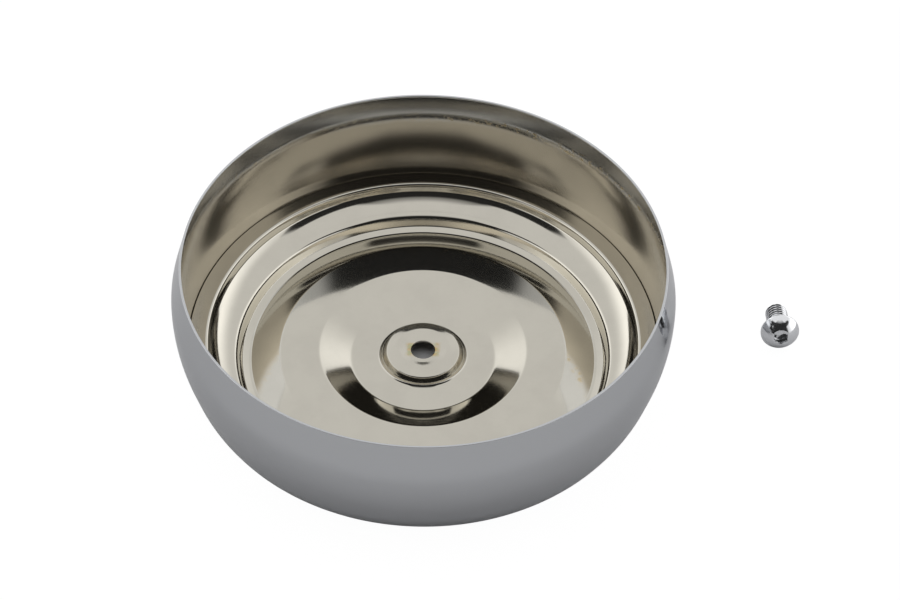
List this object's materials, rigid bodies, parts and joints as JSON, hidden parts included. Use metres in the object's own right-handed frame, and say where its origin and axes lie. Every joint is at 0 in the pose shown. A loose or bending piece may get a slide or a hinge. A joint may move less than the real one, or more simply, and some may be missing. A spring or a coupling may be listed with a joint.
{
  "type": "air cleaner cover",
  "caption": "Round deep-drawn chromed cover of an air filter housing, open side up, with a stepped inner pan, a central screw hole and its hex-socket button-head screw beside it.",
  "frame": {"origin": "on the cover's axis, in the plane of the seat around the screw hole where the screw head bears; the table is 4.65 mm below it", "axes": "+Z along the cover's axis, out of its open side and up; +X towards the screw that lies beside it"},
  "size_m": [0.2251, 0.1778, 0.0512],
  "materials": {
    "chromed_bowl": "polished chrome outside, duller nickel lower down inside",
    "nickel_pan": "thin warm nickel with a satin sheen and faint stains",
    "chromed_screw": "polished chrome"
  },
  "bodies": {
    "cover": {"outer_shell": "chromed_bowl", "inner_pan": "nickel_pan"},
    "screw": {"cover_screw": "chromed_screw"}
  },
  "joints": [
    {"name": "screw_lift", "type": "slide", "parent": "cover", "child": "screw", "axis": [0, 0, 1], "range_m": [0, 0.06]}
  ]
}
